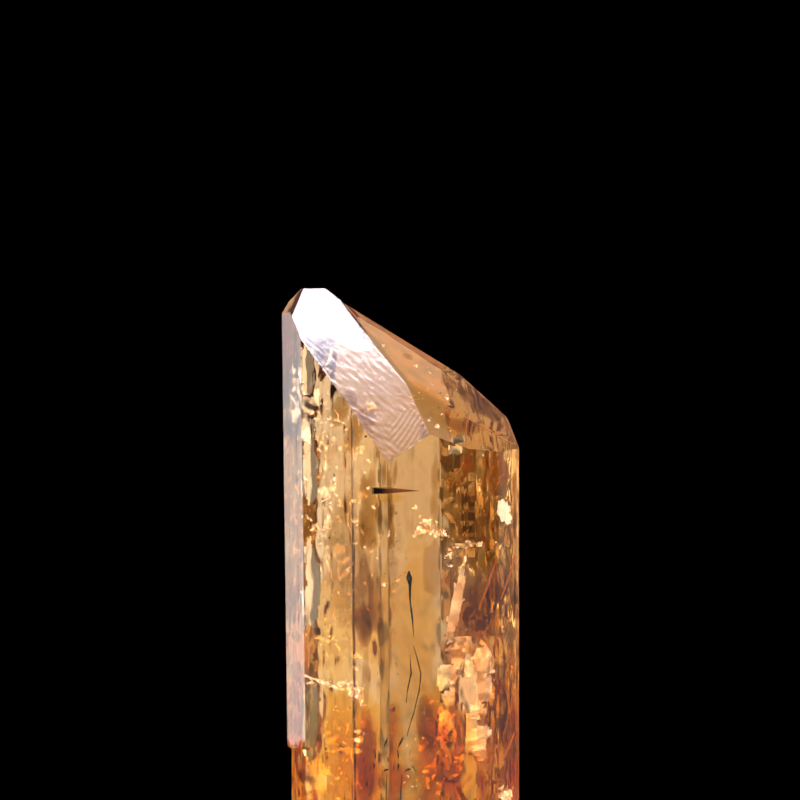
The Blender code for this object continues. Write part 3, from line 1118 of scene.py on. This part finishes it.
# Colour zones: parts of the same stone that grew richer in iron or peach-coloured by chromium, and brown
# bodies of painted shade, set where the stone shows dark reflections. They bend no light and only take
# some of it, the more
# the thicker they are: pixel, depth, half sizes across, in depth and upwards, and roll in degrees.
IRON_ZONES = {
    "foot": (395, 880, 3.0, (2.0, 0.5, 8.0), 0.0),
    "foot_left": (348, 778, 2.3, (2.0, 2.0, 4.8), 0.0),
    "foot_right": (441, 775, 2.3, (1.5, 1.8, 4.8), 0.0),
    "foot_corner": (474, 800, 1.4, (1.0, 0.8, 2.8), 0.0),
    "left_edge": (294, 785, 0.5, (0.7, 0.5, 2.6), 0.0),
    "left_foot": (311, 760, 0.6, (0.8, 0.35, 3.6), 0.0),
    "right_edge_foot": (508, 768, 0.6, (0.4, 0.25, 2.2), 0.0),
    "right_line": (497, 620, 0.6, (0.25, 0.35, 1.8), 0.0),
    "middle": (410, 630, 2.2, (1.5, 0.45, 4.4), 0.0),
    "foot_inner_left": (369, 772, 1.8, (0.9, 1.1, 3.4), 0.0),
    "foot_inner_right": (433, 757, 1.8, (0.9, 1.0, 3.6), 0.0),
    "left_middle": (335, 640, 1.9, (1.5, 0.40, 3.0), 0.0),
    "right_middle": (485, 602, 1.2, (0.80, 0.60, 2.0), 0.0),
    "under_slit": (391, 498, 1.0, (0.60, 0.30, 0.20), 0.0),
    "slope": (434, 408, 1.3, (2.2, 0.50, 0.7), 33.0),
}
# Painted shade: soft brown bodies that darken the stone where it shows dark reflections
PAINTED_SHADE_ZONES = {
    "below_front_face": (384, 473, 1.4, (0.12, 0.25, 0.75), 5.0),
    "by_front_edge": (388, 512, 1.4, (0.18, 0.25, 0.65), 0.0),
    "left_upper": (352, 432, 1.6, (0.55, 0.35, 1.2), 20.0),
    "left_centre": (345, 560, 2.4, (1.3, 0.25, 3.2), 0.0),
    "left_middle": (363, 600, 1.5, (0.65, 0.50, 2.1), 0.0),
    "left_patch": (362, 625, 1.4, (0.55, 0.40, 0.9), 0.0),
    "edge_smudge": (381, 650, 0.8, (0.20, 0.25, 2.0), 0.0),
    "right_middle": (478, 612, 2.5, (1.2, 0.55, 1.5), 0.0),
    "right_upper": (474, 520, 1.8, (0.9, 0.25, 1.4), 0.0),
    "right_strip": (491, 575, 1.0, (0.28, 0.35, 3.4), 0.0),
    "column_right": (431, 574, 2.0, (0.45, 0.22, 1.6), 0.0),
    "left_by_edge": (375, 600, 0.9, (0.40, 0.40, 2.0), 0.0),
    "column_edge": (435, 492, 2.0, (0.25, 0.25, 1.8), 0.0),
    "left_lower": (366, 678, 1.2, (0.30, 0.30, 1.4), 0.0),
    "left_top": (338, 414, 1.4, (0.50, 0.30, 0.9), 20.0),
    "left_foot": (367, 757, 1.6, (0.60, 0.45, 2.2), 0.0),
    "right_foot": (447, 760, 1.8, (0.50, 0.25, 1.4), 0.0),
    "right_foot_inner": (427, 728, 2.0, (0.50, 0.45, 1.6), 0.0),
    "slope_right": (478, 404, 1.2, (1.3, 0.60, 0.65), 38.0),
    "slope_middle": (452, 385, 1.2, (0.7, 0.25, 0.4), 35.0),
    "slope_foot": (462, 426, 0.9, (0.9, 0.30, 0.5), 0.0),
    "slope_dot": (407, 356, 1.0, (0.3, 0.15, 0.2), 0.0),
    "right_edge_upper": (512, 560, 0.8, (0.45, 0.40, 3.6), 0.0),
    "right_edge_lower": (510, 700, 0.8, (0.45, 0.40, 3.6), 0.0),
    "left_inner": (368, 520, 1.8, (0.5, 0.40, 2.6), 0.0),
    "left_edge": (293, 700, 0.6, (0.4, 0.14, 4.0), 0.0),
}
PEACH_ZONES = {
    "right_patch": (468, 708, 0.80, (1.4, 0.32, 5.0), 0.0),
    "finger": (456, 606, 0.45, (0.40, 0.20, 2.4), 10.0),
}
ZONE_UNEVENNESS = 0.50
ZONE_NOISE = (0.9, 2.4, 0.6)
ZONE_DETAIL = 3
LARGE_ZONE = 2.0
HALVINGS = 9

# Zoned topaz, each with its colour and density: iron-rich stone turns the light behind it a deep glowing
# orange, peach stone warms the white of the cracks, and the painted shade is a soft brown darkening where
# dark reflections fall.
ZONED_TOPAZ = {
    "iron": ("F9E239", 1075.0),
    "peach": ("FAC571", 1000.0),
    "painted_shade": ("CAAE60", 2150.0),
}


def zone_material(name, colour, density):
    """A stone that bends no light and takes some of its colours."""
    material = bpy.data.materials.new(name)
    material.use_nodes = True
    tree = material.node_tree
    shader = tree.nodes["Principled BSDF"]
    shader.inputs["IOR"].default_value = 1.0
    shader.inputs["Transmission Weight"].default_value = 1.0
    shader.inputs["Base Color"].default_value = linear(CLEAR)
    shader.inputs["Roughness"].default_value = 0.0
    taking = add_node(tree, "ShaderNodeVolumeAbsorption", {"Color": linear(colour), "Density": density})
    tree.links.new(taking.outputs[0], tree.nodes["Material Output"].inputs["Volume"])
    return material


def kept_inside(centre, offset):
    """The place at an offset from a centre, pulled in to lie inside the stone."""
    least, most = 0.0, 1.0
    if well_inside(centre + offset):
        return centre + offset
    for _ in range(HALVINGS):
        share = (least + most) / 2
        if well_inside(centre + offset * share):
            least = share
        else:
            most = share
    return centre + offset * least


def zones(kind, places):
    """Adds uneven rounded bodies, each a piece of its own, because they reach into each other."""
    material = zone_material(f"{kind}_topaz", *ZONED_TOPAZ[kind])
    for name, (column, row, depth, size, roll) in places.items():
        rng = random.Random(name)
        entry, _, ray = sight_line(column, row)
        centre = entry + ray * depth
        shift = Vector([rng.uniform(0.0, 50.0) for _ in range(3)])
        part = bmesh.new()
        detail = ZONE_DETAIL + int(max(size) > LARGE_ZONE)
        bmesh.ops.create_icosphere(part, subdivisions=detail, radius=1.0)
        turn = Matrix.Rotation(math.radians(roll), 3, "Y")
        for vert in part.verts:
            spot = Vector([reach * value for reach, value in zip(size, vert.co)])
            uneven = ZONE_UNEVENNESS * layered(spot, shift, *ZONE_NOISE)
            vert.co = kept_inside(centre, turn @ (spot * (1.0 + uneven)))
        bmesh.ops.scale(part, vec=(MM, MM, MM), verts=part.verts)
        label = f"{kind}_{name}"
        piece = bpy.data.objects.new(label, mesh_from(part, label))
        bpy.context.scene.collection.objects.link(piece)
        piece.data.shade_smooth()
        piece.data.materials.append(material)
        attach(piece, "root")


zones("iron", IRON_ZONES)
zones("peach", PEACH_ZONES)
# The painted shade: brown bodies that stand in for dark reflections
zones("painted_shade", PAINTED_SHADE_ZONES)

# The table top under the crystal: a board of pale matt laminate, kept short so that its far edge
# stays below the view. Its dull grey throws a little even light up into the crystal's foot.
TABLE_WIDTH = 0.80
TABLE_FRONT = -0.40
TABLE_BACK = 0.013
TABLE_DROP = 0.00005
TABLE_COLOUR = "AEAAA4"
LAMINATE_GRAIN = 0.8
LAMINATE_ROUGHNESS = (0.5, 0.7)

table_mesh = bmesh.new()
bmesh.ops.create_grid(table_mesh, x_segments=1, y_segments=1, size=0.5)
table_size = (TABLE_WIDTH, TABLE_BACK - TABLE_FRONT, 1.0)
bmesh.ops.scale(table_mesh, vec=table_size, verts=table_mesh.verts)
table_middle = (0.0, (TABLE_BACK + TABLE_FRONT) / 2, -TABLE_DROP)
bmesh.ops.translate(table_mesh, vec=table_middle, verts=table_mesh.verts)
table = bpy.data.objects.new("table", mesh_from(table_mesh, "table"))
bpy.context.scene.collection.objects.link(table)
laminate = bpy.data.materials.new("matt_laminate")
laminate.use_nodes = True
tree = laminate.node_tree
shader = tree.nodes["Principled BSDF"]
shader.inputs["Base Color"].default_value = linear(TABLE_COLOUR)
where = add_node(tree, "ShaderNodeTexCoord").outputs["Object"]
grain = add_node(tree, "ShaderNodeTexNoise", {"Scale": scale_for(LAMINATE_GRAIN)}, {"Vector": where})
matt = add_node(
    tree,
    "ShaderNodeMapRange",
    {"To Min": LAMINATE_ROUGHNESS[0], "To Max": LAMINATE_ROUGHNESS[1]},
    {"Value": grain.outputs["Fac"]},
)
tree.links.new(matt.outputs["Result"], shader.inputs["Roughness"])
table.data.materials.append(laminate)

# The light: a softbox high in front, a cool panel behind on the left and two strips on the right,
# as azimuth from the front, elevation, width and height in metres, radiance and colour
LIGHT_DISTANCE = 0.5
LIGHT_AIM = Vector((0.0, 0.0, 0.02))
LIGHTS = {
    "key_core": (1.7, 72.0, 0.12, 0.10, 6.0, "F4F4FF"),
    "cool_left": (-113.0, 14.8, 0.14, 0.383, 3.6, "FCF8F6"),
    "right_strip": (72.0, 8.0, 0.10, 0.50, 0.6, "FBFFF0"),
    "right_side": (103.0, 2.0, 0.16, 0.40, 1.5, "FFD6A6"),
}


def soft_light(name, azimuth, elevation, width, height, radiance, colour):
    """A softbox, aimed at the crystal."""
    light = bpy.data.lights.new(name, "AREA")
    light.shape = "RECTANGLE"
    light.size = width
    light.size_y = height
    light.energy = radiance * math.pi * width * height
    light.color = linear(colour)[:3]
    lamp = bpy.data.objects.new(name, light)
    direction = normal_of(azimuth, 90.0 - elevation)
    lamp.location = LIGHT_AIM + direction * LIGHT_DISTANCE
    lamp.rotation_euler = direction.to_track_quat("Z", "Y").to_euler()
    lamp.visible_camera = False
    bpy.context.scene.collection.objects.link(lamp)


for name, values in LIGHTS.items():
    soft_light(name, *values)

# The surround: a studio that is bright behind and above the crystal, dim in front and darker far
# below. Each level turns into the next between two values of the direction's Y or Z.
SURROUND_COLOUR = "FFEBD6"
BLACK = "000000"
FRONT_LEVEL = 0.10
BACK_LEVEL = 0.30
BACK_TURN = (-0.7, 0.8)
TOP_LEVEL = 0.35
TOP_TURN = (0.0, 1.0)
FLOOR_SHARE = 0.25
FLOOR_TURN = (-0.68, -0.59)

# Soft round glows: azimuth, elevation, radius of the even middle and of the rim in degrees,
# how fast it falls between them, radiance and colour
GLOWS = {
    "key": (1.7, 68.0, 8.6, 11.0, 1.0, 18.0, "FAF4FF"),
    "key_halo": (1.7, 68.0, 9.0, 19.0, 2.0, 7.6, "F0E8FF"),
    "front_fill": (0.0, FILL_ELEVATION, 5.0, 20.0, 2.0, 12.0, "FFE8CC"),
    "front": (0.0, 0.0, 10.0, 26.0, 1.0, 0.28, "FFEBD6"),
    "left": (-94.0, 0.0, 5.0, 12.0, 1.0, 1.30, "FFDDB8"),
    "behind": (180.0, 0.0, 1.0, 7.0, 1.0, 0.56, "FFE0C4"),
    "behind_right": (133.0, 0.0, 5.0, 18.0, 1.0, 0.80, "FFEBD6"),
    "behind_left": (216.0, 2.0, 5.0, 18.0, 1.0, 0.45, "FFEBD6"),
    "behind_low": (166.0, -19.0, 5.0, 16.0, 1.0, 0.34, "FFCFB8"),
    "floor_bounce": (193.0, -34.0, 3.0, 18.0, 1.0, 0.36, "FFBE90"),
    "floor_behind": (195.0, -52.0, 6.0, 20.0, 1.0, 0.55, "FF9A50"),
    "rear_left": (-131.0, 32.0, 4.0, 14.0, 1.0, 4.0, "FFC48C"),
}
world = bpy.data.worlds.new("studio")
bpy.context.scene.world = world
world.use_nodes = True
tree = world.node_tree
surround = tree.nodes["Background"]
direction = add_node(tree, "ShaderNodeTexCoord").outputs["Generated"]
parts = add_node(tree, "ShaderNodeSeparateXYZ", None, {"Vector": direction})


def graded(value, turn, levels, blend="SMOOTHSTEP"):
    """A level that turns from one value to another between two places."""
    settings = {"interpolation_type": blend, "From Min": turn[0], "From Max": turn[1]}
    settings |= {"To Min": levels[0], "To Max": levels[1]}
    return add_node(tree, "ShaderNodeMapRange", settings, {"Value": value}).outputs["Result"]


depth_level = graded(parts.outputs["Y"], BACK_TURN, (FRONT_LEVEL, BACK_LEVEL))
height_level = graded(parts.outputs["Z"], TOP_TURN, (0.0, TOP_LEVEL))
floor_share = graded(parts.outputs["Z"], FLOOR_TURN, (FLOOR_SHARE, 1.0), "LINEAR")
level = add_node(tree, "ShaderNodeMath", {"operation": "ADD"}, {0: depth_level, 1: height_level})
level_share = add_node(
    tree, "ShaderNodeMath", {"operation": "MULTIPLY"}, {0: level.outputs[0], 1: floor_share}
)
room = add_node(
    tree,
    "ShaderNodeVectorMath",
    {"operation": "SCALE", 0: linear(SURROUND_COLOUR)[:3]},
    {"Scale": level_share.outputs[0]},
)
total = room.outputs[0]
for azimuth, elevation, core, rim, power, radiance, colour in GLOWS.values():
    aimed = {"operation": "DOT_PRODUCT", 1: normal_of(azimuth, 90.0 - elevation)}
    nearness = add_node(tree, "ShaderNodeVectorMath", aimed, {0: direction}).outputs["Value"]
    edges = (math.cos(math.radians(rim)), math.cos(math.radians(core)))
    share = graded(nearness, edges, (0.0, 1.0), "LINEAR")
    falloff = add_node(tree, "ShaderNodeMath", {"operation": "POWER", 1: power}, {0: share})
    hue = Vector(linear(colour)[:3]) * radiance
    glow = add_node(
        tree,
        "ShaderNodeVectorMath",
        {"operation": "MULTIPLY_ADD", 1: hue},
        {0: falloff.outputs[0], 2: total},
    )
    total = glow.outputs[0]
tree.links.new(total, surround.inputs["Color"])

# The camera itself sees black behind the crystal, as in the photograph
path = add_node(tree, "ShaderNodeLightPath")
backdrop = add_node(tree, "ShaderNodeBackground", {"Color": linear(BLACK)})
seen = add_node(
    tree,
    "ShaderNodeMixShader",
    None,
    {0: path.outputs["Is Camera Ray"], 1: surround.outputs[0], 2: backdrop.outputs[0]},
)
tree.links.new(seen.outputs[0], tree.nodes["World Output"].inputs[0])

# Light meets many faces inside the stone before it leaves, so its paths are long
scene = bpy.context.scene
scene.view_settings.view_transform = "Standard"
scene.cycles.max_bounces = 96
scene.cycles.transmission_bounces = 96
scene.cycles.glossy_bounces = 48
scene.cycles.diffuse_bounces = 6
scene.cycles.use_denoising = True
